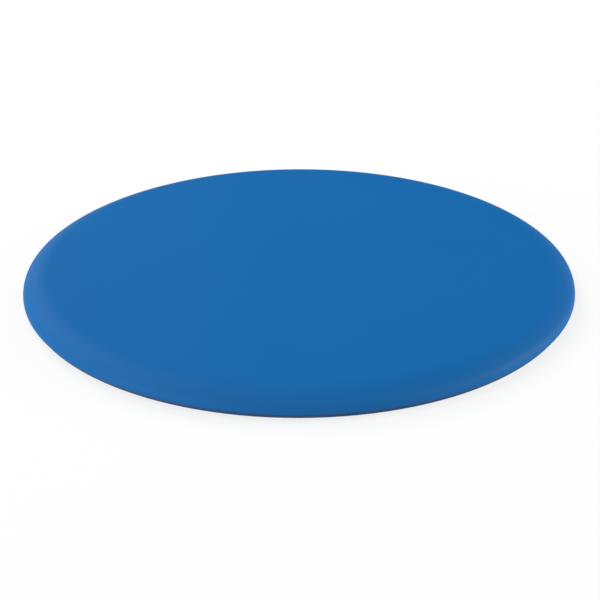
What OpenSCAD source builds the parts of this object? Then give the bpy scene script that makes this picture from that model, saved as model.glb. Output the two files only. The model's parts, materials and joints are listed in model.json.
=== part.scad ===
// Pivot disc: a low turntable that a person stands on to be turned during a transfer.
// A soft tread cover on a ribbed top plate turns over a ribbed base plate, on a caged ring of
// balls between two pressed races. A short spindle holds the two halves together at the centre,
// and a circle of glide pads near the rim takes the load when somebody steps on the edge.
// Frame: origin on the floor at the pivot axis, +Z up. All sizes are in millimetres.

/* [Rim and tread] */
// Diameter over the rolled rim
disc_d = 400; // [370:5:440]
// How far the rolled rim reaches in from the edge
rim_spread = 19; // [16:0.5:22]
// How far the rolled rim drops below the tread
rim_drop = 12; // [11:0.25:12.5]
// Radius of the tight round at the edge of the rim
rim_edge_r = 8; // [7:0.25:9]
// Thickness of the soft tread cover
tread_t = 2; // [1.5:0.1:3]
// Thickness of the cover's lip under the top plate's wall
lip_t = 1.3; // [1:0.1:1.6]
// How far the lip reaches inside the top plate's wall
lip_reach = 2.2; // [1.6:0.1:3]
// Height of the bead that hooks the lip behind the wall
hook_h = 1; // [0.6:0.1:1.1]
// Running gap between the lip and the base plate
rim_gap = 0.5; // [0.4:0.05:0.8]
// How far the base plate's edge sits inside the rim
base_inset = 2.5; // [1:0.5:4]

/* [Plates] */
// Thickness of the base plate's floor
base_t = 3; // [2.6:0.1:4]
// Thickness of the top plate's web and wall
plate_t = 2.6; // [2:0.1:3.4]
// Thickness of a rib at its root
rib_root_t = 2.4; // [1.8:0.1:3]
// Thickness of a rib at its tip
rib_tip_t = 1.8; // [1.2:0.1:2.4]
// Gap between the tips of the two plates' ribs
rib_gap = 0.6; // [0.4:0.1:1]
// Number of radial ribs between the hub and the ball race
inner_ribs = 16; // [8:2:24]
// Number of radial ribs between the ball race and the rim
outer_ribs = 32; // [16:4:48]
// Number of ring ribs between the hub and the ball race
ring_ribs = 2; // [1:1:3]

/* [Ball race] */
// How far the circle of balls sits inside the rim
race_inset = 65; // [60:1:75]
// Width of each pressed race
race_w = 16; // [13:0.5:20]
// Thickness of each pressed race
race_t = 2; // [1.6:0.1:2.6]
// Depth of the ball groove in each race
groove_depth = 0.8; // [0.5:0.1:1]
// Diameter of a ball
ball_d = 6; // [5.6:0.1:8]
// Number of balls
ball_count = 40; // [24:2:48]
// Width of the ball cage
cage_w = 12; // [9:0.5:13]
// Thickness of the ball cage between its pockets
cage_t = 1.8; // [1.4:0.1:2.4]
// Height of the collar round each pocket
collar_h = 3.2; // [2.8:0.1:3.6]
// Wall of the collar round each pocket
collar_wall = 1.4; // [1:0.1:1.6]

/* [Pivot] */
// Diameter of the spindle's shaft
shaft_d = 14; // [12:0.5:16]
// Diameter of the spindle's flange
flange_d = 60; // [54:1:70]
// Thickness of the spindle's flange
flange_t = 2; // [1.6:0.1:2.4]
// Number of screws that hold the flange
screw_count = 4; // [3:1:6]
// Diameter of the flange screws
screw_d = 4; // [3:0.5:5]
// Pitch circle of the flange screws
screw_pcd = 44; // [40:1:46]
// Wall of the bush's sleeve
bush_wall = 2; // [1.5:0.1:2.5]
// Outer diameter of the top plate's hub
hub_d = 44; // [42:1:50]
// Diameter of the cap that closes the hub
cap_d = 34; // [33:0.5:36]

/* [Glides and seal] */
// Number of glide pads
pad_count = 12; // [8:1:16]
// Diameter of a glide pad
pad_d = 12; // [9:0.5:13]
// Height of a glide pad above the base plate's floor
pad_h = 1.6; // [1.2:0.1:2]
// How far the pads' circle sits inside the rim
pad_inset = 22; // [20:0.5:26]
// Width of the runner ring above the pads
runner_w = 14; // [12:0.5:16]
// Thickness of the runner ring
runner_t = 1.2; // [1:0.1:1.6]
// Width of the felt rim seal
seal_w = 3; // [2:0.1:3.5]

/* [Floor grip] */
// Thickness of the rubber floor grips
grip_t = 2.2; // [2:0.1:3]
// Depth of the recess that holds each grip
grip_seat = 1; // [0.8:0.1:1.2]
// Width of the outer grip ring
grip_w = 44; // [30:1:50]
// How far the grip ring sits inside the base plate's edge
grip_inset = 5.5; // [4:0.5:10]
// Diameter of the centre grip pad
centre_grip_d = 84; // [70:1:90]
// Number of ring grooves in the grip ring
tread_grooves = 3; // [1:1:5]
// Number of radial grooves in the grip ring
tread_slots = 36; // [12:4:48]
// Width of the grooves
groove_w = 2.4; // [1.5:0.1:3]
// Depth of the grooves
tread_depth = 0.8; // [0.5:0.1:1]

/* [Hidden] */
$fn = 128;
// Overrun of every cut past the face it opens
cut = 0.5;
// Clearance of a piece that is pressed or laid into its seat
seat_clear = 0.05;
// Clearance of a wide piece at its seat: the cover, the races, the runner and the grips
wide_clear = 0.2;
// How much wider the top plate's edge is rolled than the inside of the cover
roll_ease = 0.6;
// Radial clearance of the shaft in its bush
run_clear = 0.05;
// Clearance of each ball in its grooves and its pocket
ball_clear = 0.2;
// Play along the axis between the thrust washers and what runs on them
axial_play = 0.2;
// Gap between the glide pads and the runner ring
glide_gap = 0.3;
// Gap between the seal and the cover's lip
seal_gap = 0.3;
// Radii that take the sharpness off the lip and off the base plate's edge
lip_round = 0.8;
base_round = 0.9;
// Chamfer that takes the sharpness off the rings, discs and bushes
edge_break = 0.25;
// Lips that hold a race in its channel, and the pad behind the upper race
race_lip_t = 2;
race_lip_h = 1.2;
race_back_t = 0.4;
// Stem of a glide pad
pad_stem_d = 5;
pad_stem_short = 0.1;
// Rim that locates the runner ring stops short of its running face
runner_short = 0.4;
// Thrust washers, wave washer and retaining ring on the shaft
lower_washer_t = 1;
lower_washer_d = 36;
upper_washer_t = 0.8;
upper_washer_d = 24;
shaft_slip = 0.15;
wave_h = 0.7;
wave_t = 0.3;
wave_w = 3;
wave_count = 3;
wave_steps = 60;
ring_t = 0.8;
ring_w = 2;
ring_gap_w = 4;
ring_lug_d = 3.4;
ring_lug_hole_d = 1.4;
ring_lug_turn = 26;
lug_sink_share = 0.25;
ring_groove_depth = 0.4;
shaft_end_h = 0.7;
shaft_chamfer = 0.4;
// Flange of the bush
bush_flange_t = 1.2;
bush_flange_w = 4;
// Cap over the hub: its disc, its ledge and the skirt that snaps in
cap_t = 1;
cap_ledge_w = 4;
cap_skirt_t = 1.2;
cap_skirt_h = 1.2;
cap_gap = 0.1;
// Hex socket of a flange screw, and what the screw stops short of the flange's top
socket_share = 0.5;
socket_depth_share = 0.55;
screw_short = 0.3;
screw_slip = 0.1;

// Levels, from the floor up
z_base = grip_t - grip_seat;
z_recess = z_base + grip_seat;
z_floor = z_base + base_t;
z_lower_race = z_floor + race_t;
z_ball = z_lower_race - groove_depth + ball_clear + ball_d / 2;
z_upper_race = z_ball + ball_d / 2 + ball_clear - groove_depth;
z_race_seat = z_upper_race + race_t;
z_race_lip = z_race_seat - race_lip_h;
z_web = z_race_seat + race_back_t;
z_plate = z_web + plate_t;
disc_h = z_plate + tread_t;
z_lip = z_floor + rim_gap;
z_wall = z_lip + lip_t;
z_runner = z_floor + pad_h + glide_gap;
z_rib = z_runner + runner_t;
z_base_rib = z_rib - rib_gap;

// Levels of the pivot stack
z_flange = z_floor + flange_t;
z_lower_washer = z_flange + lower_washer_t;
z_bush = z_lower_washer + axial_play;
z_hub = z_bush + bush_flange_t;
z_cap = z_plate - cap_t;
z_shaft_end = z_cap - cap_gap;
z_ring_top = z_shaft_end - shaft_end_h;
z_ring = z_ring_top - ring_t;
z_wave = z_ring - wave_h;
z_upper_washer = z_wave - upper_washer_t;
z_shoulder = z_upper_washer - axial_play;

// Radii, from the rim inwards
disc_r = disc_d / 2;
cover_in_r = disc_r - tread_t;
plate_r = cover_in_r - wide_clear;
wall_in_r = plate_r - plate_t;
lip_in_r = wall_in_r - lip_reach;
seal_r = lip_in_r - seal_gap;
base_r = disc_r - base_inset;
grip_out_r = base_r - grip_inset;
grip_in_r = grip_out_r - grip_w;
pad_r = disc_r - pad_inset;
runner_in_r = pad_r - runner_w / 2;
runner_out_r = pad_r + runner_w / 2;
runner_fence_r = runner_out_r + wide_clear;
race_r = disc_r - race_inset;
race_in_r = race_r - race_w / 2;
race_out_r = race_r + race_w / 2;
channel_in_r = race_in_r - wide_clear - race_lip_t;
channel_out_r = race_out_r + wide_clear + race_lip_t;
pad_fence_t = rib_root_t / 2;
pad_fence_r = runner_in_r - rib_gap - pad_fence_t;
flange_fence_r = flange_d / 2 + seat_clear + rib_root_t;
hub_r = hub_d / 2;
cap_r = cap_d / 2;
counterbore_r = cap_r - cap_ledge_w;
cap_skirt_r = counterbore_r - seat_clear;
shaft_r = shaft_d / 2;
bush_in_r = shaft_r + run_clear;
bush_out_r = bush_in_r + bush_wall;
ring_groove_r = shaft_r - ring_groove_depth;
ring_in_r = ring_groove_r + seat_clear;
csk_h = base_t - grip_seat;
screw_head_r = screw_d / 2 + csk_h;

// Rolls of the rim, from the outside in: how far each reaches in, its drop and its tight radius
rim_roll = [rim_spread, rim_drop, rim_edge_r];
cover_in_roll = shrunk_roll(rim_roll, tread_t);
plate_roll = shrunk_roll(cover_in_roll, -roll_ease);
wall_roll = shrunk_roll(plate_roll, plate_t);
hook_rise = max(0, z_wall + hook_h - z_web + wall_roll[1]);
hook_out_r = wall_in_r - wall_roll[2] + sqrt(wall_roll[2] ^ 2 - hook_rise ^ 2) - wide_clear;

tread_blue = [0.12, 0.42, 0.69];
plate_grey = [0.55, 0.57, 0.60];
base_blue = [0.11, 0.32, 0.53];
rubber_black = [0.06, 0.06, 0.065];
felt_grey = [0.20, 0.20, 0.21];
steel = [0.72, 0.73, 0.75];
spring_steel = [0.38, 0.39, 0.42];
acetal_white = [0.93, 0.92, 0.88];
nylon_cream = [0.86, 0.82, 0.70];

// Ring of square section between two radii and two levels
module ring(r_in, r_out, z_low, z_high) {
    rotate_extrude()
        translate([r_in, z_low])
            square([r_out - r_in, z_high - z_low]);
}

// The same ring with its four edges chamfered
module eased_ring(r_in, r_out, z_low, z_high) {
    rotate_extrude()
        polygon([
            [r_in + edge_break, z_low], [r_out - edge_break, z_low], [r_out, z_low + edge_break],
            [r_out, z_high - edge_break], [r_out - edge_break, z_high], [r_in + edge_break, z_high],
            [r_in, z_high - edge_break], [r_in, z_low + edge_break]
        ]);
}

// Disc with both edges chamfered
module eased_disc(r, z_low, z_high) {
    rotate_extrude()
        polygon([
            [0, z_low], [r - edge_break, z_low], [r, z_low + edge_break],
            [r, z_high - edge_break], [r - edge_break, z_high], [0, z_high]
        ]);
}

// Copies of a child round the axis, the first one turned by start
module around(count, start = 0) {
    for (i = [0 : count - 1])
        rotate([0, 0, start + i * 360 / count])
            children();
}

// Corner of an outline to cut away so that a round of radius r is left
module corner_cut(r) {
    difference() {
        square(r + cut);
        circle(r);
    }
}

// Half section of a disc with a rolled upper edge
module rolled_outline(r, z_low, z_high, edge_r) {
    difference() {
        translate([0, z_low])
            square([r, z_high - z_low]);
        translate([r - edge_r, z_high - edge_r])
            corner_cut(edge_r);
    }
}

// The same roll, moved inwards by a wall's thickness
function shrunk_roll(roll, t) = [roll[0] - t, roll[1] - t, roll[2] - t];

// Radius of the broad arc that runs from the flat top into the tight round without a crease
function broad_r(roll) =
    (roll[0] ^ 2 + roll[1] ^ 2 - 2 * roll[0] * roll[2]) / (2 * (roll[1] - roll[2]));

// Sector under the broad arc, up to the line where the tight round takes over
module broad_sector(roll) {
    r = broad_r(roll);
    turn = atan2(roll[0] - roll[2], r - roll[1]);
    intersection() {
        circle(r);
        polygon([[-cut, 0], [0, 0], [2 * r * sin(turn), 2 * r * cos(turn)], [-cut, 2 * r]]);
    }
}

// Half section of a disc whose flat top rolls over in a broad arc and then a tight one
module crowned_outline(r, z_low, z_high, roll) {
    difference() {
        translate([0, z_low])
            square([r, z_high - z_low]);
        translate([r - roll[0], z_high - roll[1]])
            difference() {
                square([roll[0] + cut, roll[1] + cut]);
                translate([0, roll[1] - broad_r(roll)])
                    broad_sector(roll);
                translate([roll[0] - roll[2], 0])
                    circle(roll[2]);
            }
    }
}

// Tapered rib along +X, with its root at one level and its tip at another
module radial_rib(r_in, r_out, z_root, z_tip) {
    translate([r_in, 0, 0])
        rotate([90, 0, 90])
            linear_extrude(r_out - r_in)
                polygon([
                    [-rib_root_t / 2, z_root], [rib_root_t / 2, z_root],
                    [rib_tip_t / 2, z_tip], [-rib_tip_t / 2, z_tip]
                ]);
}

// Tapered rib that runs round the axis
module ring_rib(r, z_root, z_tip) {
    rotate_extrude()
        polygon([
            [r - rib_root_t / 2, z_root], [r + rib_root_t / 2, z_root],
            [r + rib_tip_t / 2, z_tip], [r - rib_tip_t / 2, z_tip]
        ]);
}

// Ring ribs spread evenly between a hub and the race channel
module spread_ring_ribs(r_in, r_out, z_root, z_tip) {
    for (i = [1 : ring_ribs])
        ring_rib(r_in + (r_out - r_in) * i / (ring_ribs + 1), z_root, z_tip);
}

// Soft cover: flat tread, rolled rim, and a hooked lip that grips the top plate's wall
module tread_cover() {
    color(tread_blue)
        rotate_extrude() {
            difference() {
                crowned_outline(disc_r, z_lip, disc_h, rim_roll);
                crowned_outline(cover_in_r, z_wall, z_plate, cover_in_roll);
                translate([0, z_lip - cut])
                    square([lip_in_r, z_wall - z_lip + 2 * cut]);
                translate([disc_r - lip_round, z_lip + lip_round])
                    mirror([0, 1])
                        corner_cut(lip_round);
            }
            translate([lip_in_r, z_wall - lip_t / 2])
                square([hook_out_r - lip_in_r, hook_h + lip_t / 2]);
        }
}

// Outer skin of the top plate, open underneath
module top_shell() {
    rotate_extrude()
        difference() {
            crowned_outline(plate_r, z_wall, z_plate, plate_roll);
            crowned_outline(wall_in_r, z_wall - cut, z_web, wall_roll);
        }
}

// Ribs under the web, and the two rings that seat the runner, all kept below the plate's skin
module top_ribs() {
    z_root = z_web + plate_t / 2;
    around(inner_ribs)
        radial_rib(hub_r - rib_root_t, channel_in_r + race_lip_t / 2, z_root, z_rib);
    spread_ring_ribs(hub_r, channel_in_r, z_root, z_rib);
    around(outer_ribs)
        radial_rib(channel_out_r - race_lip_t / 2, runner_fence_r + rib_root_t / 2, z_root, z_rib);
    ring(runner_in_r, runner_in_r + rib_root_t, z_rib, z_root);
    ring(runner_fence_r, runner_fence_r + rib_root_t, z_runner + runner_short, z_root);
}

// Structural plate that carries the tread, the upper race and the hub
module top_plate() {
    color(plate_grey)
        difference() {
            union() {
                top_shell();
                intersection() {
                    top_ribs();
                    rotate_extrude()
                        crowned_outline(plate_r, z_runner, z_plate, plate_roll);
                }
                ring(channel_in_r, channel_out_r, z_race_lip, z_web + plate_t / 2);
                ring(0, hub_r, z_hub, z_web + plate_t / 2);
            }
            ring(race_in_r - wide_clear, race_out_r + wide_clear, z_race_lip - cut, z_race_seat);
            ring(0, bush_out_r + seat_clear, z_hub - cut, z_shoulder + cut);
            ring(0, counterbore_r, z_shoulder, z_cap + cut);
            ring(0, cap_r, z_cap, z_plate + cut);
        }
}

// Cap that closes the hub flush with the top plate
module hub_cap() {
    cap_out_r = cap_r - seat_clear;
    skirt_in_r = cap_skirt_r - cap_skirt_t;
    z_skirt = z_cap - cap_skirt_h;
    color(plate_grey)
        rotate_extrude()
            polygon([
                [0, z_cap], [skirt_in_r, z_cap], [skirt_in_r, z_skirt],
                [cap_skirt_r - edge_break, z_skirt], [cap_skirt_r, z_skirt + edge_break],
                [cap_skirt_r, z_cap], [cap_out_r, z_cap], [cap_out_r, z_plate - edge_break],
                [cap_out_r - edge_break, z_plate], [0, z_plate]
            ]);
}

// Pressed ring with a ball groove on the side that faces the balls
module race(z_low) {
    color(steel)
        difference() {
            eased_ring(race_in_r, race_out_r, z_low, z_low + race_t);
            rotate_extrude()
                translate([race_r, z_ball])
                    circle(ball_d / 2 + ball_clear);
        }
}

module lower_race() { race(z_floor); }

module upper_race() { race(z_upper_race); }

module bearing_balls() {
    color(steel)
        around(ball_count)
            translate([race_r, 0, z_ball])
                sphere(ball_d / 2);
}

// Cage with a collared, snap-in pocket for each ball
module ball_cage() {
    pocket_r = ball_d / 2 + ball_clear;
    color(nylon_cream)
        difference() {
            union() {
                eased_ring(
                    race_r - cage_w / 2, race_r + cage_w / 2, z_ball - cage_t / 2, z_ball + cage_t / 2
                );
                around(ball_count)
                    translate([race_r, 0, z_ball - collar_h / 2])
                        cylinder(r = pocket_r + collar_wall, h = collar_h);
            }
            around(ball_count)
                translate([race_r, 0, z_ball])
                    sphere(pocket_r);
        }
}

// Wear ring under the top plate, above the glide pads
module runner_ring() {
    color(steel)
        eased_ring(runner_in_r, runner_out_r, z_runner, z_rib);
}

// Low friction buttons with stems through the base plate's floor
module glide_pads() {
    color(acetal_white)
        around(pad_count, 180 / pad_count)
            translate([pad_r, 0, z_floor]) {
                eased_disc(pad_d / 2, 0, pad_h);
                translate([0, 0, pad_stem_short - csk_h])
                    cylinder(d = pad_stem_d, h = csk_h - pad_stem_short + pad_h / 2);
            }
}

// Felt strip on the base plate, just inside the cover's lip
module rim_seal() {
    color(felt_grey)
        ring(seal_r - seal_w, seal_r, z_floor, z_base_rib);
}

// Countersunk cone and hole of a flange screw, wider by a clearance
module screw_form(clearance, z_end) {
    translate([0, 0, z_recess])
        cylinder(r1 = screw_head_r + clearance, r2 = screw_d / 2 + clearance, h = csk_h);
    translate([0, 0, z_recess])
        cylinder(r = screw_d / 2 + clearance, h = z_end - z_recess);
}

module at_screws() {
    around(screw_count, 180 / screw_count)
        translate([screw_pcd / 2, 0, 0])
            children();
}

module spindle_screws() {
    color(steel)
        at_screws()
            difference() {
                screw_form(0, z_flange - screw_short);
                translate([0, 0, z_recess - cut])
                    cylinder(
                        r = screw_d * socket_share, h = csk_h * socket_depth_share + cut, $fn = 6
                    );
            }
}

// Half section of the base plate's floor with both edges rounded
module base_outline() {
    difference() {
        rolled_outline(base_r, z_base, z_floor, base_round);
        translate([base_r - base_round, z_base + base_round])
            mirror([0, 1])
                corner_cut(base_round);
    }
}

// Ribs, fences and race channel on the base plate's floor
module base_ribs() {
    z_root = z_floor - csk_h / 2;
    around(inner_ribs)
        radial_rib(flange_fence_r - rib_root_t / 2, channel_in_r + race_lip_t / 2, z_root, z_base_rib);
    spread_ring_ribs(flange_fence_r, channel_in_r, z_root, z_base_rib);
    around(outer_ribs)
        radial_rib(channel_out_r - race_lip_t / 2, pad_fence_r + pad_fence_t / 2, z_root, z_base_rib);
    ring(pad_fence_r, pad_fence_r + pad_fence_t, z_root, z_base_rib);
    ring(flange_fence_r - rib_root_t, flange_fence_r, z_root, z_flange);
    ring(channel_in_r, channel_in_r + race_lip_t, z_root, z_floor + race_lip_h);
    ring(channel_out_r - race_lip_t, channel_out_r, z_root, z_floor + race_lip_h);
}

// Base plate that stays still on the floor
module base_plate() {
    color(base_blue)
        difference() {
            union() {
                rotate_extrude()
                    base_outline();
                base_ribs();
            }
            ring(grip_in_r - wide_clear, grip_out_r + wide_clear, z_base - cut, z_recess);
            ring(0, centre_grip_d / 2 + wide_clear, z_base - cut, z_recess);
            at_screws()
                screw_form(seat_clear, z_floor + cut);
            around(pad_count, 180 / pad_count)
                translate([pad_r, 0, z_base])
                    cylinder(r = pad_stem_d / 2 + seat_clear, h = base_t + cut);
        }
}

// Ring groove in the floor side of a grip
module floor_groove(r) {
    ring(r - groove_w / 2, r + groove_w / 2, -cut, tread_depth);
}

// Rubber ring with ring grooves and radial grooves on the floor side
module floor_grip_ring() {
    pitch = grip_w / (tread_grooves + 1);
    color(rubber_black)
        difference() {
            eased_ring(grip_in_r, grip_out_r, 0, grip_t);
            for (i = [1 : tread_grooves])
                floor_groove(grip_in_r + i * pitch);
            around(tread_slots)
                translate([grip_in_r - cut, -groove_w / 2, -cut])
                    cube([grip_w + 2 * cut, groove_w, tread_depth + cut]);
        }
}

// Rubber disc that covers the flange screws
module floor_grip_pad() {
    pad_grip_r = centre_grip_d / 2;
    pitch = pad_grip_r / (tread_grooves + 1);
    color(rubber_black)
        difference() {
            eased_disc(pad_grip_r, 0, grip_t);
            for (i = [1 : tread_grooves])
                floor_groove(i * pitch);
        }
}

// Flanged spindle, screwed to the base plate, with a groove for the retaining ring
module pivot_spindle() {
    color(steel)
        difference() {
            union() {
                eased_disc(flange_d / 2, z_floor, z_flange);
                rotate_extrude()
                    polygon([
                        [0, z_floor], [shaft_r, z_floor], [shaft_r, z_shaft_end - shaft_chamfer],
                        [shaft_r - shaft_chamfer, z_shaft_end], [0, z_shaft_end]
                    ]);
            }
            ring(ring_groove_r, shaft_r + cut, z_ring - seat_clear, z_ring_top + seat_clear);
            at_screws()
                translate([0, 0, z_floor - cut])
                    cylinder(r = screw_d / 2 + screw_slip, h = flange_t + 2 * cut);
        }
}

module lower_thrust_washer() {
    color(acetal_white)
        eased_ring(shaft_r + shaft_slip, lower_washer_d / 2, z_flange, z_lower_washer);
}

module upper_thrust_washer() {
    color(acetal_white)
        eased_ring(shaft_r + shaft_slip, upper_washer_d / 2, z_upper_washer, z_wave);
}

// Flanged bush in the top plate's hub, running on the spindle
module pivot_bush() {
    flange_r = bush_out_r + bush_flange_w;
    color(acetal_white)
        rotate_extrude()
            polygon([
                [bush_in_r + edge_break, z_bush], [flange_r - edge_break, z_bush],
                [flange_r, z_bush + edge_break], [flange_r, z_hub], [bush_out_r, z_hub],
                [bush_out_r, z_shoulder - edge_break], [bush_out_r - edge_break, z_shoulder],
                [bush_in_r + edge_break, z_shoulder], [bush_in_r, z_shoulder - edge_break],
                [bush_in_r, z_bush + edge_break]
            ]);
}

// Wave washer that takes up the play under the retaining ring
module wave_washer() {
    r_in = shaft_r + shaft_slip;
    lift = (wave_h - wave_t) / 2 - seat_clear;
    middle = z_wave + wave_h / 2;
    function wave_z(i) = middle + lift * sin(i * 360 * wave_count / wave_steps);
    function wave_point(i, r, side) = [
        r * cos(i * 360 / wave_steps), r * sin(i * 360 / wave_steps), wave_z(i) + side * wave_t / 2
    ];
    points = [
        for (i = [0 : wave_steps - 1])
            for (corner = [[r_in, -1], [r_in + wave_w, -1], [r_in + wave_w, 1], [r_in, 1]])
                wave_point(i, corner[0], corner[1])
    ];
    faces = [
        for (i = [0 : wave_steps - 1])
            for (k = [0 : 3])
                let (a = 4 * i + k, b = 4 * i + (k + 1) % 4, n = 4 * wave_steps)
                    for (f = [[a, b, (b + 4) % n], [a, (b + 4) % n, (a + 4) % n]])
                        f
    ];
    color(spring_steel)
        polyhedron(points, faces);
}

// Open retaining ring with two plier lugs
module retaining_ring() {
    ring_out_r = ring_in_r + ring_w;
    lug_r = ring_out_r - ring_lug_d * lug_sink_share;
    color(spring_steel)
        translate([0, 0, z_ring])
            linear_extrude(ring_t)
                difference() {
                    union() {
                        circle(ring_out_r);
                        for (side = [-1, 1])
                            rotate(side * ring_lug_turn)
                                translate([lug_r, 0])
                                    circle(d = ring_lug_d);
                    }
                    circle(ring_in_r);
                    translate([0, -ring_gap_w / 2])
                        square([ring_out_r + ring_lug_d, ring_gap_w]);
                    for (side = [-1, 1])
                        rotate(side * ring_lug_turn)
                            translate([lug_r, 0])
                                circle(d = ring_lug_hole_d);
                }
}

base_plate();
floor_grip_ring();
floor_grip_pad();
lower_race();
glide_pads();
rim_seal();
pivot_spindle();
spindle_screws();
lower_thrust_washer();
upper_thrust_washer();
wave_washer();
retaining_ring();
ball_cage();
bearing_balls();
tread_cover();
top_plate();
upper_race();
runner_ring();
pivot_bush();
hub_cap();
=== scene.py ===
# %% [markdown]
# # Dressing a pivot disc
# A pivot disc is a low turntable. Somebody stands on it and is turned, instead of twisting their
# knees, on the way from a bed to a chair. Its solids are already made, at their real size, in one
# shared frame: the origin is on the floor under the pivot, +Z is up, and lengths are in metres.
# This lesson gives each surface its finish. It makes the cover and the rubber grips again with the
# rounded edges that moulded rubber has, and gives the base an even edge.

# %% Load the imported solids
import json
import math

import bmesh
import bpy
from mathutils import Matrix, Vector


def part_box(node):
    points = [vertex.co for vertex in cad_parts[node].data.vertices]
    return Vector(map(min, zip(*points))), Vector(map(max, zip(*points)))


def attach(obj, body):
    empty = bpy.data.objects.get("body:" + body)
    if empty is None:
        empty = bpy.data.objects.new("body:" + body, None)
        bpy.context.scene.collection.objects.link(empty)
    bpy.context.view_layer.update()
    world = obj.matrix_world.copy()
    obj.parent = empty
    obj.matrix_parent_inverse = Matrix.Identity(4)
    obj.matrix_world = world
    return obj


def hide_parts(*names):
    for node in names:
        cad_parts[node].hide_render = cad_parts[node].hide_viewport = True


MM = 0.001
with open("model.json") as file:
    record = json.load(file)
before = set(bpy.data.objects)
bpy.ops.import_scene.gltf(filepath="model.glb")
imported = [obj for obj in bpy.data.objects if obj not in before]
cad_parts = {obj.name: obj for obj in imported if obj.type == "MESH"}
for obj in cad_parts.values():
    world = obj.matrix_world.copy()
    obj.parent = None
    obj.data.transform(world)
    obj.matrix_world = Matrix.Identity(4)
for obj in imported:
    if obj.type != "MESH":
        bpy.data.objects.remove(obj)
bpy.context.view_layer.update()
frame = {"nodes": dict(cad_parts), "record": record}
print("solids:", ", ".join(sorted(frame["nodes"])))

# %% [markdown]
# ## Sizes that the pieces share
# The solids say where every piece begins and ends, so the levels are read from them. A round solid
# is stored as flat facets, which fall a little short of its true radius. The record keeps the true
# overall size, so the disc's radius comes from there.

# %% Read the levels and the radii
disc_r = max(frame["record"]["size"]["bbox_m"]) / 2
cover_low, cover_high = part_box("tread_cover")
plate_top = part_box("top_plate")[1].z
grip_ring_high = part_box("floor_grip_ring")[1]
grip_pad_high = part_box("floor_grip_pad")[1]
tread_t = cover_high.z - plate_top
print(f"disc radius {disc_r / MM:.1f} mm, height {cover_high.z / MM:.1f} mm, tread {tread_t / MM:.1f} mm")

# %% [markdown]
# ## Small tools for node trees
# Materials and shapes are both node trees here. A few short helpers keep the code readable: one adds
# a node with its settings, one joins an output to an input, and one names a socket of a group.


# %% Helpers for node trees
def add_node(tree, kind, label, values=None, **settings):
    """A new node with a label, its settings, and the values of its inputs by name."""
    node = tree.nodes.new(kind)
    node.label = label
    for name, value in settings.items():
        setattr(node, name, value)
    for socket, value in (values or {}).items():
        node.inputs[socket].default_value = value
    return node


def join(tree, output, target):
    """A link from an output to an input."""
    tree.links.new(output, target)


def add_socket(tree, name, direction, kind, default=None):
    """A named input or output of a node group."""
    socket = tree.interface.new_socket(name=name, in_out=direction, socket_type=kind)
    if default is not None:
        socket.default_value = default
    return socket


def srgb(red, green, blue):
    """A linear colour from the values of 0 to 255 that a colour picker shows."""
    knee, slope, lift, power = 0.04045, 12.92, 0.055, 2.4
    shades = [value / 255 for value in (red, green, blue)]
    linear = [s / slope if s <= knee else ((s + lift) / (1 + lift)) ** power for s in shades]
    return (*linear, 1.0)


print("helpers ready")

# %% [markdown]
# ## Grain that moulded pieces share
# Rubber and moulded plastic take their surface from the mould: a fine pebble that dulls the shine,
# and broad, faint patches where the melt cooled at another speed. Both could be painted as images.
# A noise in object space needs no image, has no seams, and keeps its real size on every piece, so
# one group makes the pebble and the patches for all the moulded finishes.


# %% Build the moulded grain group
def build_moulded_grain():
    """Pebble height and broad patches, both from 0 to 1, in object space."""
    tree = bpy.data.node_groups.new("moulded_grain", "ShaderNodeTree")
    add_socket(tree, "Vector", "INPUT", "NodeSocketVector")
    add_socket(tree, "Pebbles per Metre", "INPUT", "NodeSocketFloat", default=1200.0)
    add_socket(tree, "Patches per Metre", "INPUT", "NodeSocketFloat", default=12.0)
    add_socket(tree, "Pebble", "OUTPUT", "NodeSocketFloat")
    add_socket(tree, "Patch", "OUTPUT", "NodeSocketFloat")
    source = add_node(tree, "NodeGroupInput", "sizes")
    result = add_node(tree, "NodeGroupOutput", "masks")

    cells = add_node(
        tree, "ShaderNodeTexVoronoi", "pebble cells", {"Smoothness": 0.6}, feature="SMOOTH_F1"
    )
    dust = add_node(tree, "ShaderNodeTexNoise", "uneven pebbles", {"Detail": 2.0})
    pebble = add_node(tree, "ShaderNodeMix", "cells and noise", {"Factor": 0.45}, data_type="FLOAT")
    patch = add_node(tree, "ShaderNodeTexNoise", "broad patches", {"Detail": 3.0, "Roughness": 0.45})

    for texture in (cells, dust, patch):
        join(tree, source.outputs["Vector"], texture.inputs["Vector"])
    for texture in (cells, dust):
        join(tree, source.outputs["Pebbles per Metre"], texture.inputs["Scale"])
    join(tree, source.outputs["Patches per Metre"], patch.inputs["Scale"])
    join(tree, cells.outputs["Distance"], pebble.inputs["A"])
    join(tree, dust.outputs["Fac"], pebble.inputs["B"])
    join(tree, pebble.outputs["Result"], result.inputs["Pebble"])
    join(tree, patch.outputs["Fac"], result.inputs["Patch"])
    return tree


moulded_grain = build_moulded_grain()
print("group:", moulded_grain.name)

# %% [markdown]
# ## How far a spot is from the pivot
# Two finishes follow the turning: steel shows fine rings round its axis, and the tread's rim is
# smoother than its middle. A UV map on each piece could carry them. Nearly all the round pieces share
# the pivot axis, though, so one small group that measures the distance from it serves both.


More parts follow.
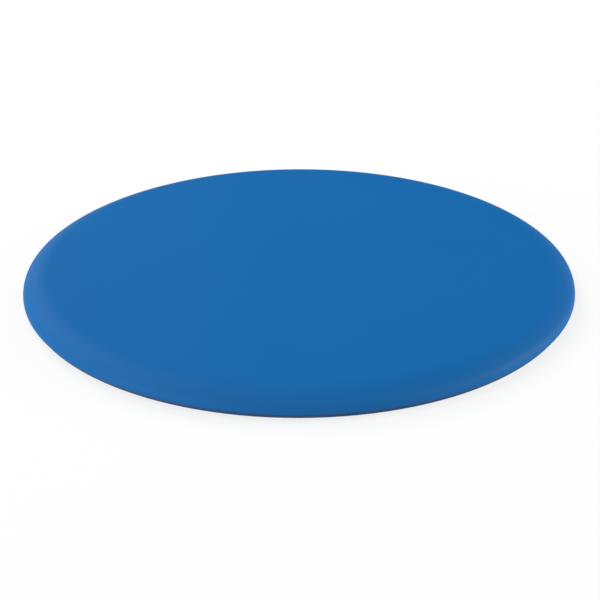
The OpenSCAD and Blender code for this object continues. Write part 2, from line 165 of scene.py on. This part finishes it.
# %% Build the pivot distance group
def build_pivot_distance():
    """Distance from the pivot axis, in metres."""
    tree = bpy.data.node_groups.new("pivot_distance", "ShaderNodeTree")
    add_socket(tree, "Vector", "INPUT", "NodeSocketVector")
    add_socket(tree, "Distance", "OUTPUT", "NodeSocketFloat")
    source = add_node(tree, "NodeGroupInput", "place")
    result = add_node(tree, "NodeGroupOutput", "distance")
    flat = add_node(
        tree, "ShaderNodeVectorMath", "drop the height", {1: (1.0, 1.0, 0.0)}, operation="MULTIPLY"
    )
    radius = add_node(tree, "ShaderNodeVectorMath", "length", operation="LENGTH")
    join(tree, source.outputs["Vector"], flat.inputs[0])
    join(tree, flat.outputs["Vector"], radius.inputs[0])
    join(tree, radius.outputs["Value"], result.inputs["Distance"])
    return tree


pivot_distance = build_pivot_distance()
print("group:", pivot_distance.name)

# %% [markdown]
# ## A start for every material
# Each finish is a Principled shader with its constant values set on the shader itself. What varies
# over the surface, such as tint, roughness and bump, comes from the groups above. The helpers here
# hold what all the finishes repeat.


# %% Helpers for materials
def start_material(name, **constants):
    """A material with its shader, its object coordinates, and its constant values set."""
    material = bpy.data.materials.new(name)
    material.use_nodes = True
    tree = material.node_tree
    shader = tree.nodes["Principled BSDF"]
    for socket, value in constants.items():
        shader.inputs[socket.replace("_", " ")].default_value = value
    place = add_node(tree, "ShaderNodeTexCoord", "object space")
    return material, tree, shader, place.outputs["Object"]


def use_group(tree, group, vector, **sizes):
    """A shared group, placed in a material with its own sizes."""
    node = add_node(tree, "ShaderNodeGroup", group.name, node_tree=group)
    join(tree, vector, node.inputs["Vector"])
    for socket, value in sizes.items():
        node.inputs[socket.replace("_", " ")].default_value = value
    return node


def tint_between(tree, shader, mask, dark, light):
    """The base colour runs from dark to light with a mask."""
    mix = add_node(tree, "ShaderNodeMix", "tint", {"A": dark, "B": light}, data_type="RGBA")
    join(tree, mask, mix.inputs["Factor"])
    join(tree, mix.outputs["Result"], shader.inputs["Base Color"])


def rough_between(tree, shader, mask, low, high):
    """The roughness runs from low to high with a mask."""
    spread = add_node(tree, "ShaderNodeMapRange", "roughness", {"To Min": low, "To Max": high})
    join(tree, mask, spread.inputs["Value"])
    join(tree, spread.outputs["Result"], shader.inputs["Roughness"])


def bump_from(tree, shader, height, depth, strength):
    """A bump of a real depth in metres."""
    bump = add_node(tree, "ShaderNodeBump", "surface", {"Distance": depth, "Strength": strength})
    join(tree, height, bump.inputs["Height"])
    join(tree, bump.outputs["Normal"], shader.inputs["Normal"])


print("material helpers ready")

# %% [markdown]
# ## The blue of the tread
# The cover is a soft, matt, mid-blue rubber. Its flat tread has a fine pebble against slipping, so
# it hardly shines. The rolled rim is moulded against a smoother wall, and there the light from both
# sides leaves a soft pale band. The shine is a thin coat, which a mask on the distance from the
# pivot keeps to the rim. A second material on the rim would do too, but it would leave a hard line.

# %% Make the tread's material
RIM_SPREAD = 19.0 * MM
RIM_SHINE = 0.3
TREAD_GRAIN_DEPTH = 0.05 * MM


def make_tread_blue():
    """Matt blue rubber: pebbled on the tread, smoother on the rim."""
    material, tree, shader, vector = start_material(
        "tread_blue", Specular_IOR_Level=0.03, Coat_Roughness=0.62
    )
    grain = use_group(tree, moulded_grain, vector, Pebbles_per_Metre=1400.0, Patches_per_Metre=9.0)
    pebble = grain.outputs["Pebble"]
    tint_between(tree, shader, grain.outputs["Patch"], dark=srgb(13, 99, 167), light=srgb(17, 104, 171))
    rough_between(tree, shader, pebble, low=0.55, high=0.75)
    bump_from(tree, shader, pebble, TREAD_GRAIN_DEPTH, strength=0.35)

    distance = use_group(tree, pivot_distance, vector)
    rim = add_node(
        tree, "ShaderNodeMapRange", "rim mask",
        {"From Min": disc_r - RIM_SPREAD, "From Max": disc_r, "To Max": RIM_SHINE},
        interpolation_type="SMOOTHSTEP",
    )
    join(tree, distance.outputs["Distance"], rim.inputs["Value"])
    join(tree, rim.outputs["Result"], shader.inputs["Coat Weight"])
    return material


tread_blue = make_tread_blue()
print("material:", tread_blue.name)

# %% [markdown]
# ## Rubber, moulded plastics and felt
# The grips are black rubber with a dull, dusty bloom. The base is moulded in a darker blue than the
# tread, with a spark texture, and its blue is darkened further as painted shade, so that its edge
# reads as the shaded line under the rim. The top plate, the cage and the small running pieces are
# plain engineering plastics, with hardly any texture where they run. The seal is pressed felt, a
# cloudy grey. They differ only in numbers, so one function makes all of them but the felt.


# %% Make the rubber, plastic and felt materials
def make_moulded(name, dark, light, pebbles, depth, rough, **constants):
    """A moulded finish: a tint and a roughness that vary, and a pebble of a real depth."""
    material, tree, shader, vector = start_material(name, **constants)
    grain = use_group(tree, moulded_grain, vector, Pebbles_per_Metre=pebbles)
    tint_between(tree, shader, grain.outputs["Patch"], dark, light)
    rough_between(tree, shader, grain.outputs["Pebble"], *rough)
    bump_from(tree, shader, grain.outputs["Pebble"], depth, strength=0.5)
    return material


def make_felt(name, depth):
    """Pressed felt: cloudy grey with a soft, uneven nap."""
    material, tree, shader, vector = start_material(
        name, Sheen_Weight=0.6, Sheen_Roughness=0.5, Roughness=0.95
    )
    grain = use_group(tree, moulded_grain, vector, Pebbles_per_Metre=2500.0, Patches_per_Metre=180.0)
    tint_between(tree, shader, grain.outputs["Patch"], dark=srgb(52, 52, 54), light=srgb(84, 83, 82))
    bump_from(tree, shader, grain.outputs["Pebble"], depth, strength=0.9)
    return material


# The base's blue is partly its own darker moulding and partly painted shade that darkens its edge under
# the rim.
base_blue = make_moulded(
    "base_blue", dark=srgb(20, 67, 113), light=srgb(27, 76, 125),
    pebbles=2200.0, depth=0.03 * MM, rough=(0.42, 0.62),
)
grip_rubber = make_moulded(
    "grip_rubber", dark=srgb(24, 24, 25), light=srgb(38, 38, 38),
    pebbles=1500.0, depth=0.04 * MM, rough=(0.62, 0.85), Specular_IOR_Level=0.35,
)
plate_grey = make_moulded(
    "plate_grey", dark=srgb(142, 147, 153), light=srgb(158, 162, 168),
    pebbles=1800.0, depth=0.02 * MM, rough=(0.38, 0.52),
)
acetal_white = make_moulded(
    "acetal_white", dark=srgb(232, 230, 222), light=srgb(242, 241, 236),
    pebbles=900.0, depth=0.005 * MM, rough=(0.28, 0.36),
    Subsurface_Weight=0.1, Subsurface_Scale=1.5 * MM,
)
nylon_cream = make_moulded(
    "nylon_cream", dark=srgb(214, 204, 174), light=srgb(226, 217, 190),
    pebbles=1100.0, depth=0.01 * MM, rough=(0.36, 0.46),
    Subsurface_Weight=0.12, Subsurface_Scale=1.5 * MM,
)
felt_grey = make_felt("felt_grey", depth=0.2 * MM)
print("materials:", len(bpy.data.materials))

# %% [markdown]
# ## Steel
# The races and the runner are pressed from plated strip, the spindle and the screws are turned, the
# springs are oiled dark steel, and the balls are ground to a mirror. Turning and pressing leave fine
# rings. A wave texture would make them all equally wide, which looks printed, so they are a noise in
# one dimension, read along the distance from the pivot. The same rings serve all four steels, with
# other spacing, depth and roughness.


# %% Make the steel materials
def make_steel(name, colour, lines, depth, rough):
    """Bare or plated steel with rings round the pivot axis."""
    material, tree, shader, vector = start_material(name, Base_Color=colour, Metallic=1.0)
    distance = use_group(tree, pivot_distance, vector)
    rings = add_node(
        tree, "ShaderNodeTexNoise", "rings",
        {"Scale": lines, "Detail": 3.0, "Roughness": 0.7}, noise_dimensions="1D",
    )
    join(tree, distance.outputs["Distance"], rings.inputs["W"])
    rough_between(tree, shader, rings.outputs["Fac"], *rough)
    bump_from(tree, shader, rings.outputs["Fac"], depth, strength=0.4)
    return material


pressed_steel = make_steel(
    "pressed_steel", srgb(205, 207, 210), lines=1800.0, depth=0.01 * MM, rough=(0.24, 0.42)
)
turned_steel = make_steel(
    "turned_steel", srgb(198, 199, 202), lines=5000.0, depth=0.012 * MM, rough=(0.2, 0.36)
)
spring_steel = make_steel(
    "spring_steel", srgb(96, 98, 104), lines=4000.0, depth=0.004 * MM, rough=(0.3, 0.42)
)
ball_steel = make_steel(
    "ball_steel", srgb(224, 226, 228), lines=900.0, depth=0.001 * MM, rough=(0.05, 0.09)
)
print("materials:", len(bpy.data.materials))

# %% [markdown]
# ## Revolving an outline
# Almost everything on a turntable is a solid of revolution, so one Geometry Nodes tree revolves them
# all. A Screw modifier or a spin in mesh code would do it too. A tree keeps the outline and the
# number of segments as live inputs while the shape is tried out. It lays out a flat grid with one
# row for each point of the outline and one column for each step round the axis, then moves every
# point of the grid to its place. The outline runs outwards underneath and comes back over the top,
# so that the faces point outwards.

# %% Build the revolve tree
WELD_DISTANCE = 0.001 * MM


def add_math(tree, label, operation, *terms):
    """A math node between outputs, or outputs and numbers."""
    node = add_node(tree, "ShaderNodeMath", label, operation=operation)
    for socket, term in zip(node.inputs, terms):
        if isinstance(term, (int, float)):
            socket.default_value = term
        else:
            join(tree, term, socket)
    return node.outputs["Value"]


def start_shape_tree(name):
    """A tree with a geometry input, a geometry output and a material input."""
    tree = bpy.data.node_groups.new(name, "GeometryNodeTree")
    add_socket(tree, "Geometry", "INPUT", "NodeSocketGeometry")
    add_socket(tree, "Geometry", "OUTPUT", "NodeSocketGeometry")
    add_socket(tree, "Material", "INPUT", "NodeSocketMaterial")
    source = add_node(tree, "NodeGroupInput", "outline and sizes")
    result = add_node(tree, "NodeGroupOutput", "solid")
    return tree, source, result


def sample_outline(tree, source, columns):
    """A grid over the outline's points and the columns. Returns it, its column and its outline point."""
    count = add_node(tree, "GeometryNodeAttributeDomainSize", "outline points", component="MESH")
    join(tree, source.outputs["Geometry"], count.inputs["Geometry"])
    rows = count.outputs["Point Count"]
    grid = add_node(tree, "GeometryNodeMeshGrid", "flat grid")
    join(tree, columns, grid.inputs["Vertices X"])
    join(tree, rows, grid.inputs["Vertices Y"])
    index = add_node(tree, "GeometryNodeInputIndex", "grid point").outputs["Index"]
    row = add_math(tree, "row", "MODULO", index, rows)
    column = add_math(tree, "column", "FLOOR", add_math(tree, "steps", "DIVIDE", index, rows))
    place = add_node(tree, "GeometryNodeInputPosition", "outline place")
    sample = add_node(tree, "GeometryNodeSampleIndex", "outline point", data_type="FLOAT_VECTOR")
    join(tree, source.outputs["Geometry"], sample.inputs["Geometry"])
    join(tree, place.outputs["Position"], sample.inputs["Value"])
    join(tree, row, sample.inputs["Index"])
    return grid.outputs["Mesh"], column, sample.outputs["Value"]


def close_shape(tree, source, result, mesh, point, angle):
    """Turn the grid's points about the axis, weld the seam and the poles, and give the material."""
    turn = add_node(tree, "ShaderNodeVectorRotate", "turn", rotation_type="Z_AXIS")
    move = add_node(tree, "GeometryNodeSetPosition", "wrap round the axis")
    weld = add_node(tree, "GeometryNodeMergeByDistance", "weld the seam", {"Distance": WELD_DISTANCE})
    real = add_node(tree, "GeometryNodeRealizeInstances", "plain mesh")
    paint = add_node(tree, "GeometryNodeSetMaterial", "finish")
    join(tree, point, turn.inputs["Vector"])
    join(tree, angle, turn.inputs["Angle"])
    join(tree, mesh, move.inputs["Geometry"])
    join(tree, turn.outputs["Vector"], move.inputs["Position"])
    join(tree, source.outputs["Material"], paint.inputs["Material"])
    for step, following in ((move, weld), (weld, real), (real, paint), (paint, result)):
        join(tree, step.outputs["Geometry"], following.inputs["Geometry"])


def build_revolve():
    """Revolves an outline of points in the XZ plane about the Z axis."""
    tree, source, result = start_shape_tree("revolve_outline")
    add_socket(tree, "Segments", "INPUT", "NodeSocketInt", default=256)
    segments = source.outputs["Segments"]
    columns = add_math(tree, "columns", "ADD", segments, 1)
    mesh, column, point = sample_outline(tree, source, columns)
    share = add_math(tree, "share of a turn", "DIVIDE", column, segments)
    angle = add_math(tree, "angle", "MULTIPLY", share, math.tau)
    close_shape(tree, source, result, mesh, point, angle)
    return tree


revolve_outline = build_revolve()
print("tree:", revolve_outline.name)

# %% [markdown]
# ## From an outline to a finished piece
# An outline is a chain of points with the radius in X and the height in Z. Straight stretches and
# arcs are enough for every piece here. The tree's result is turned into a plain mesh, so the piece
# that is kept has no modifier on it, and it sits at the origin with its place in its mesh.

# %% Helpers for outlines and pieces
SHARP_ANGLE = math.radians(35.0)


def straight(start, end, steps=1):
    """Points from start towards end, without the end itself."""
    return [
        tuple(a + (b - a) * step / steps for a, b in zip(start, end))
        for step in range(steps)
    ]


def arc(centre, radius, start, end, steps=8):
    """Points round a centre, from one angle to another in degrees, both ends included."""
    angles = [math.radians(start + (end - start) * step / steps) for step in range(steps + 1)]
    return [(centre[0] + radius * math.cos(a), centre[1] + radius * math.sin(a)) for a in angles]


def finish_piece(name, mesh):
    """An object at the origin from a plain mesh, smooth but for its sharp edges."""
    mesh.shade_smooth()
    mesh.set_sharp_from_angle(angle=SHARP_ANGLE)
    piece = bpy.data.objects.new(name, mesh)
    bpy.context.scene.collection.objects.link(piece)
    print(f"piece: {name}, {len(mesh.vertices)} points, {len(mesh.polygons)} faces")
    return piece


def make_piece(name, outline, tree, material, **sizes):
    """A plain mesh from an outline, by a shape tree with its sizes."""
    chain = bpy.data.meshes.new(name)
    edges = [(i, i + 1) for i in range(len(outline) - 1)]
    chain.from_pydata([(radius, 0.0, height) for radius, height in outline], edges, [])
    blank = bpy.data.objects.new(name + "_outline", chain)
    bpy.context.scene.collection.objects.link(blank)
    modifier = blank.modifiers.new("shape", "NODES")
    modifier.node_group = tree
    sizes["Material"] = material
    for item in tree.interface.items_tree:
        if item.in_out == "INPUT" and item.name in sizes:
            modifier[item.identifier] = sizes[item.name]
    evaluated = blank.evaluated_get(bpy.context.evaluated_depsgraph_get())
    mesh = bpy.data.meshes.new_from_object(evaluated)
    mesh.name = name
    # The bare outline may bring an empty slot of its own
    if mesh.materials[0] is None:
        mesh.materials.pop(index=0)
    blank.modifiers.remove(modifier)
    bpy.data.objects.remove(blank)
    return finish_piece(name, mesh)


print("piece helpers ready")

# %% [markdown]
# ## The tread cover
# The cover is one soft moulding: a flat tread, a rolled rim, and a lip that is hooked under the top
# plate's wall. The rim rolls over in a broad arc that runs into a tight one, which an oval would do
# nearly as well, but two arcs keep the wall equally thick. It is the piece that everybody sees, so
# its roll has the most points. The tread is divided into rings, because one fan of thin triangles
# from the centre to the rim would shade badly.

# %% Make the tread cover
RIM_DROP = 12.0 * MM
RIM_EDGE_R = 8.0 * MM
LIP_T = 1.3 * MM
LIP_ROUND = 0.8 * MM
WALL_T = 2.6 * MM
COVER_CLEAR = 0.2 * MM
LIP_REACH = 2.2 * MM
HOOK_H = 1.0 * MM
HOOK_ROUND = 0.4 * MM
HOOK_SETBACK = 0.54 * MM
TREAD_RINGS = 16
ROLL_STEPS = 20
HOOK_STEPS = 4
COVER_SEGMENTS = 288


def rolled_edge(radius, top, inset):
    """The roll from the side up to the flat, moved inwards by an inset: a tight arc, then a broad one."""
    spread, drop, tight = (size - inset for size in (RIM_SPREAD, RIM_DROP, RIM_EDGE_R))
    broad = (spread ** 2 + drop ** 2 - 2 * spread * tight) / (2 * (drop - tight))
    change = math.degrees(math.atan2(broad - drop, spread - tight))
    return [
        *arc((radius - tight, top - drop), tight, 0, change, ROLL_STEPS),
        *arc((radius - spread, top - broad), broad, change, 90, ROLL_STEPS)[1:],
    ]


def cover_outline():
    """Under the tread, round the hooked lip, up the rolled rim and back over the tread."""
    top, lip = cover_high.z, cover_low.z
    inside_r = disc_r - tread_t
    wall_r = inside_r - COVER_CLEAR - WALL_T
    lip_in = wall_r - LIP_REACH
    hook_out = wall_r - HOOK_SETBACK
    lip_top = lip + LIP_T
    hook_top = lip_top + HOOK_H
    flat_r = disc_r - RIM_SPREAD
    inner_roll = rolled_edge(inside_r, plate_top, tread_t)[::-1]
    return [
        *straight((0.0, plate_top), (flat_r, plate_top), TREAD_RINGS),
        *[point for point in inner_roll if point[1] > lip_top],
        (inside_r, lip_top),
        (hook_out, lip_top),
        *arc((hook_out - HOOK_ROUND, hook_top - HOOK_ROUND), HOOK_ROUND, 0, 90, HOOK_STEPS),
        *arc((lip_in + HOOK_ROUND, hook_top - HOOK_ROUND), HOOK_ROUND, 90, 180, HOOK_STEPS),
        *arc((lip_in + HOOK_ROUND, lip + HOOK_ROUND), HOOK_ROUND, 180, 270, HOOK_STEPS),
        *arc((disc_r - LIP_ROUND, lip + LIP_ROUND), LIP_ROUND, -90, 0),
        *rolled_edge(disc_r, top, inset=0.0),
        *straight((flat_r, top), (0.0, top), TREAD_RINGS)[1:],
        (0.0, top),
    ]


tread_cover = make_piece(
    "tread_cover_skin", cover_outline(), revolve_outline, tread_blue, Segments=COVER_SEGMENTS
)
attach(tread_cover, "turntable")
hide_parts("tread_cover")

# %% [markdown]
# ## The edge of the base
# Of the base only the rounded edge shows, as the thin line under the rim, and the facets of the solid
# are too uneven there for a close look. The whole plate could be made again, but its ribs and
# channels are right as they are. So a copy of the solid loses the faces of its edge, and a new band
# bridges the two open rings. The band is cut into even rows, and each row is moved to its place on
# the round.

# %% Round the base's edge again
BASE_ROUND = 0.9 * MM
EDGE_STEPS = 6


def edge_outline(radius, low, high):
    """The outer edge from the floor side up: an arc, a straight side and an arc."""
    inside = radius - BASE_ROUND
    return [
        *arc((inside, low + BASE_ROUND), BASE_ROUND, -90, 0, EDGE_STEPS),
        *arc((inside, high - BASE_ROUND), BASE_ROUND, 0, 90, EDGE_STEPS),
    ]


def open_edge(shape, radius):
    """Remove the faces of the rounded edge. Returns the two rings that are left open."""
    start = radius - BASE_ROUND - WELD_DISTANCE
    edge = [face for face in shape.faces if all(point.co.xy.length > start for point in face.verts)]
    bmesh.ops.delete(shape, geom=edge, context="FACES")
    return [side for side in shape.edges if side.is_boundary]


def bridge_edge(shape, rings, radius):
    """Close the two rings with a band that follows the rounded outline."""
    heights = [point.co.z for side in rings for point in side.verts]
    low, high = min(heights), max(heights)
    outline = edge_outline(radius, low, high)
    last = len(outline) - 1
    band = bmesh.ops.bridge_loops(shape, edges=rings)["edges"]
    cut = bmesh.ops.subdivide_edges(shape, edges=band, cuts=last - 1, use_grid_fill=True)
    for point in cut["geom_inner"]:
        if isinstance(point, bmesh.types.BMVert):
            row = round((point.co.z - low) / (high - low) * last)
            reach, height = outline[row]
            point.co = (*(point.co.xy.normalized() * reach), height)
    bmesh.ops.recalc_face_normals(shape, faces=shape.faces)


def make_base(name, solid, material):
    """A copy of the base plate's solid with an even edge."""
    shape = bmesh.new()
    shape.from_mesh(solid.data)
    bmesh.ops.remove_doubles(shape, verts=shape.verts, dist=WELD_DISTANCE)
    radius = max(point.co.xy.length for point in shape.verts)
    bridge_edge(shape, open_edge(shape, radius), radius)
    mesh = bpy.data.meshes.new(name)
    shape.to_mesh(mesh)
    shape.free()
    mesh.materials.append(material)
    return finish_piece(name, mesh)


base_plate = make_base("base_plate_body", frame["nodes"]["base_plate"], base_blue)
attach(base_plate, "base")
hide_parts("base_plate")

# %% [markdown]
# ## A tree that presses slots
# Underneath, a rubber ring and a rubber pad keep the base from sliding. The ring has ring grooves
# and radial slots, as a tread has, so that water and dust can get out of the way. Cutting the slots
# with booleans would leave ragged faces. Instead the same grid is revolved with its columns bunched
# at each slot, and every point there is lifted to the slot's floor, so the edges get a clean break.

# %% Build the slotted revolve tree
GROOVE_W = 2.4 * MM
GROOVE_DEPTH = 0.8 * MM
GROOVE_DRAFT = 0.1 * MM
EDGE_BREAK = 0.25 * MM
LAND_SHARES = (0.25, 0.5, 0.75)


def groove_profile():
    """Offset and height across one groove, with broken edges and a little draft."""
    half = GROOVE_W / 2
    rising = [(half + EDGE_BREAK, 0.0), (half, EDGE_BREAK), (half - GROOVE_DRAFT, GROOVE_DEPTH)]
    return [(-offset, height) for offset, height in rising] + rising[::-1]


def slot_stops():
    """Offset from the slot's middle, share of the pitch, and height, for each column of one slot."""
    across = [(offset, 0.0, height) for offset, height in groove_profile()]
    return across + [(0.0, share, 0.0) for share in LAND_SHARES]


def add_stop_switch(tree, label, local, values):
    """A value for each column of one slot."""
    switch = add_node(tree, "GeometryNodeIndexSwitch", label, data_type="FLOAT")
    while len(switch.index_switch_items) < len(values):
        switch.index_switch_items.new()
    join(tree, local, switch.inputs["Index"])
    for number, value in enumerate(values):
        switch.inputs[str(number)].default_value = value
    return switch.outputs["Output"]


def build_slotted_revolve():
    """Revolves an outline, with radial slots pressed into its floor side."""
    tree, source, result = start_shape_tree("slotted_revolve")
    add_socket(tree, "Slots", "INPUT", "NodeSocketInt", default=36)
    slots = source.outputs["Slots"]
    stops = slot_stops()
    columns = add_math(tree, "columns", "MULTIPLY_ADD", slots, len(stops), 1)
    mesh, column, point = sample_outline(tree, source, columns)
    passed = add_math(tree, "slots passed", "DIVIDE", column, len(stops))
    sector = add_math(tree, "slot", "FLOOR", passed)
    local = add_math(tree, "column of the slot", "MODULO", column, len(stops))
    offset, share, floor = (
        add_stop_switch(tree, label, local, values)
        for label, values in zip(("offset", "share", "height"), zip(*stops))
    )

    split = add_node(tree, "ShaderNodeSeparateXYZ", "radius and height")
    join(tree, point, split.inputs["Vector"])
    lean = add_math(tree, "lean", "ARCSINE", add_math(tree, "sine", "DIVIDE", offset, split.outputs["X"]))
    pitches = add_math(tree, "pitches passed", "ADD", sector, share)
    turns = add_math(tree, "share of a turn", "DIVIDE", pitches, slots)
    angle = add_math(tree, "angle", "MULTIPLY_ADD", turns, math.tau, lean)
    height = add_math(tree, "lift to the slot's floor", "MAXIMUM", split.outputs["Z"], floor)
    lifted = add_node(tree, "ShaderNodeCombineXYZ", "lifted point")
    join(tree, split.outputs["X"], lifted.inputs["X"])
    join(tree, height, lifted.inputs["Z"])
    close_shape(tree, source, result, mesh, lifted.outputs["Vector"], angle)
    return tree


slotted_revolve = build_slotted_revolve()
print("tree:", slotted_revolve.name)

# %% [markdown]
# ## The floor grips
# Both grips are laid into shallow recesses of the base and stand a little proud of it. Their outlines
# run along the floor with a groove at each even step, so the lands between the grooves are equally
# wide. The pad covers the screws of the pivot, and it has no slots, because it carries little weight.

# %% Make the floor grips
GRIP_W = 44.0 * MM
RING_GROOVES = 3
RING_SLOTS = 36
PAD_SEGMENTS = 128


def floor_side(inner, outer):
    """Along the floor from an inner to an outer radius, through ring grooves at even steps."""
    pitch = (outer - inner) / (RING_GROOVES + 1)
    middles = [inner + (i + 1) * pitch for i in range(RING_GROOVES)]
    return [(middle + offset, height) for middle in middles for offset, height in groove_profile()]


def outer_edge(radius, thickness):
    """The outer wall of a grip, from the floor up."""
    return [
        (radius - EDGE_BREAK, 0.0), (radius, EDGE_BREAK),
        (radius, thickness - EDGE_BREAK), (radius - EDGE_BREAK, thickness),
    ]


def grip_ring_outline(outer, thickness):
    """A closed outline: along the floor, up the outer wall, back over the top, down the inner wall."""
    inner = outer - GRIP_W
    start = (inner + EDGE_BREAK, 0.0)
    inner_wall = [(inner + EDGE_BREAK, thickness), (inner, thickness - EDGE_BREAK), (inner, EDGE_BREAK)]
    return [start, *floor_side(inner, outer), *outer_edge(outer, thickness), *inner_wall, start]


def grip_pad_outline(outer, thickness):
    """The same for a full disc, from the axis out and back to it."""
    return [(0.0, 0.0), *floor_side(0.0, outer), *outer_edge(outer, thickness), (0.0, thickness)]


ring_outline = grip_ring_outline(grip_ring_high.x, grip_ring_high.z)
pad_outline = grip_pad_outline(grip_pad_high.x, grip_pad_high.z)
grip_ring = make_piece(
    "floor_grip_ring_rubber", ring_outline, slotted_revolve, grip_rubber, Slots=RING_SLOTS
)
grip_pad = make_piece(
    "floor_grip_pad_rubber", pad_outline, revolve_outline, grip_rubber, Segments=PAD_SEGMENTS
)
for piece, node in ((grip_ring, "floor_grip_ring"), (grip_pad, "floor_grip_pad")):
    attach(piece, "base")
    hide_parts(node)

# %% [markdown]
# ## Finishes for the solids that stay
# The hard pieces are shut inside the disc, and show when somebody takes it apart. They could be made
# again as the cover was, but their shape is true already and would gain nothing. So they keep their
# meshes and only get their finish.

# %% Give every solid its finish
NODE_FINISHES = {
    "top_plate": plate_grey,
    "hub_cap": plate_grey,
    "lower_race": pressed_steel,
    "upper_race": pressed_steel,
    "runner_ring": pressed_steel,
    "pivot_spindle": turned_steel,
    "spindle_screws": turned_steel,
    "wave_washer": spring_steel,
    "retaining_ring": spring_steel,
    "bearing_balls": ball_steel,
    "ball_cage": nylon_cream,
    "glide_pads": acetal_white,
    "lower_thrust_washer": acetal_white,
    "upper_thrust_washer": acetal_white,
    "pivot_bush": acetal_white,
    "rim_seal": felt_grey,
}
for node_name, material in NODE_FINISHES.items():
    solid = frame["nodes"][node_name]
    solid.data.materials.clear()
    solid.data.materials.append(material)
print("finishes:", len(NODE_FINISHES))

# %% [markdown]
# ## The floor
# The disc was photographed on white. The floor is a plain white sheet that catches the shadow. White
# paper in soft light renders as pale grey, so the camera sees a share of it as plain white. Brighter
# lamps would make it white too, but they would wash out the blue.

# %% Lay the floor
FLOOR_SIDE = 40.0
PAPER_WHITE = (0.95, 0.95, 0.95, 1.0)
WHITE_SHARE = 0.8


def make_floor_white():
    """White paper. The camera, and mirrors and glass, see most of it as plain white."""
    material, tree, paper, _ = start_material(
        "floor_white", Base_Color=PAPER_WHITE, Roughness=0.9, Specular_IOR_Level=0.0
    )
    rays = add_node(tree, "ShaderNodeLightPath", "kind of ray").outputs
    mirror = add_math(
        tree, "mirror or glass", "MAXIMUM", rays["Is Glossy Ray"], rays["Is Transmission Ray"]
    )
    seen = add_math(tree, "or camera", "MAXIMUM", mirror, rays["Is Camera Ray"])
    share = add_math(tree, "white share", "MULTIPLY", seen, WHITE_SHARE)
    white = add_node(tree, "ShaderNodeEmission", "plain white")
    mix = add_node(tree, "ShaderNodeMixShader", "paper and white")
    join(tree, share, mix.inputs["Fac"])
    join(tree, paper.outputs["BSDF"], mix.inputs[1])
    join(tree, white.outputs["Emission"], mix.inputs[2])
    join(tree, mix.outputs["Shader"], tree.nodes["Material Output"].inputs["Surface"])
    return material


def make_floor():
    """A white sheet that is much larger than the view."""
    half = FLOOR_SIDE / 2
    mesh = bpy.data.meshes.new("floor")
    corners = [(-half, -half, 0.0), (half, -half, 0.0), (half, half, 0.0), (-half, half, 0.0)]
    mesh.from_pydata(corners, [], [(0, 1, 2, 3)])
    mesh.materials.append(make_floor_white())
    floor = bpy.data.objects.new("floor", mesh)
    bpy.context.scene.collection.objects.link(floor)
    return floor


print("stage:", make_floor().name)

# %% [markdown]
# ## The light
# The light in the photograph is soft and comes from all round. A sky alone would light the rim alike
# on every side, so an even sky gives only about a third of the light here, and large soft lamps give
# the rest. Two low ones, at the right and at the left, brighten the rim on both sides and leave its
# front darker. One at the back and a high one at the left make that half of the tread a little paler.
# The view transform stays plain, so a colour renders about as it is written.

# %% Light the scene
SKY_LEVEL = 0.38
LAMP_DISTANCE = 2.5
LAMP_SIZE = (1.2, 1.0)
LAMPS = {
    "right_lamp": {"azimuth": 0.0, "elevation": 15.0, "watts": 36.0},
    "back_lamp": {"azimuth": 120.0, "elevation": 35.0, "watts": 28.0},
    "left_lamp": {"azimuth": 210.0, "elevation": 15.0, "watts": 24.0},
    "high_lamp": {"azimuth": 180.0, "elevation": 60.0, "watts": 14.0},
}


def make_sky():
    """An even white sky."""
    world = bpy.data.worlds.new("studio")
    bpy.context.scene.world = world
    world.use_nodes = True
    background = world.node_tree.nodes["Background"]
    background.inputs["Color"].default_value = (1.0, 1.0, 1.0, 1.0)
    background.inputs["Strength"].default_value = SKY_LEVEL


def make_lamp(name, azimuth, elevation, watts):
    """A large soft lamp in one direction, aimed at the disc."""
    light = bpy.data.lights.new(name, "AREA")
    light.shape = "RECTANGLE"
    light.size, light.size_y = LAMP_SIZE
    light.energy = watts
    lamp = bpy.data.objects.new(name, light)
    turn, rise = math.radians(azimuth), math.radians(elevation)
    aside = math.cos(rise)
    toward = Vector((aside * math.cos(turn), aside * math.sin(turn), math.sin(rise)))
    lamp.location = toward * LAMP_DISTANCE
    lamp.rotation_euler = (-toward).to_track_quat("-Z", "Y").to_euler()
    bpy.context.scene.collection.objects.link(lamp)


make_sky()
for lamp_name, values in LAMPS.items():
    make_lamp(lamp_name, **values)
bpy.context.scene.view_settings.view_transform = "Standard"
print("lamps:", len(bpy.data.lights))

# %% [markdown]
# ## The camera
# The photograph looks down at the disc by about 25 degrees, from about three times its width away.
# A long lens keeps the ellipse nearly even from front to back. The camera could be set by eye, but an
# ellipse shows every small error, so the values come from fitting the disc's outline in the picture:
# the distance, the lens, the roll, and the spot that the lens is aimed at.

# %% Place the camera
CAMERA_DISTANCE = 1.2
CAMERA_ELEVATION = math.radians(25.06)
CAMERA_LENS = 98.35
CAMERA_ROLL = math.radians(-0.12)
AIM = Vector((0.63 * MM, -25.61 * MM, 0.0))


def make_camera():
    """A camera at the photograph's viewing angle."""
    data = bpy.data.cameras.new("camera")
    data.lens = CAMERA_LENS
    camera = bpy.data.objects.new("camera", data)
    middle = Vector((0.0, 0.0, cover_high.z / 2))
    back = Vector((0.0, -math.cos(CAMERA_ELEVATION), math.sin(CAMERA_ELEVATION)))
    camera.location = middle + back * CAMERA_DISTANCE
    look = (AIM - camera.location).to_track_quat("-Z", "Y").to_matrix()
    camera.rotation_euler = (look @ Matrix.Rotation(CAMERA_ROLL, 3, "Z")).to_euler()
    bpy.context.scene.collection.objects.link(camera)
    bpy.context.scene.camera = camera


make_camera()
print("camera at", [round(value, 3) for value in bpy.context.scene.camera.location])
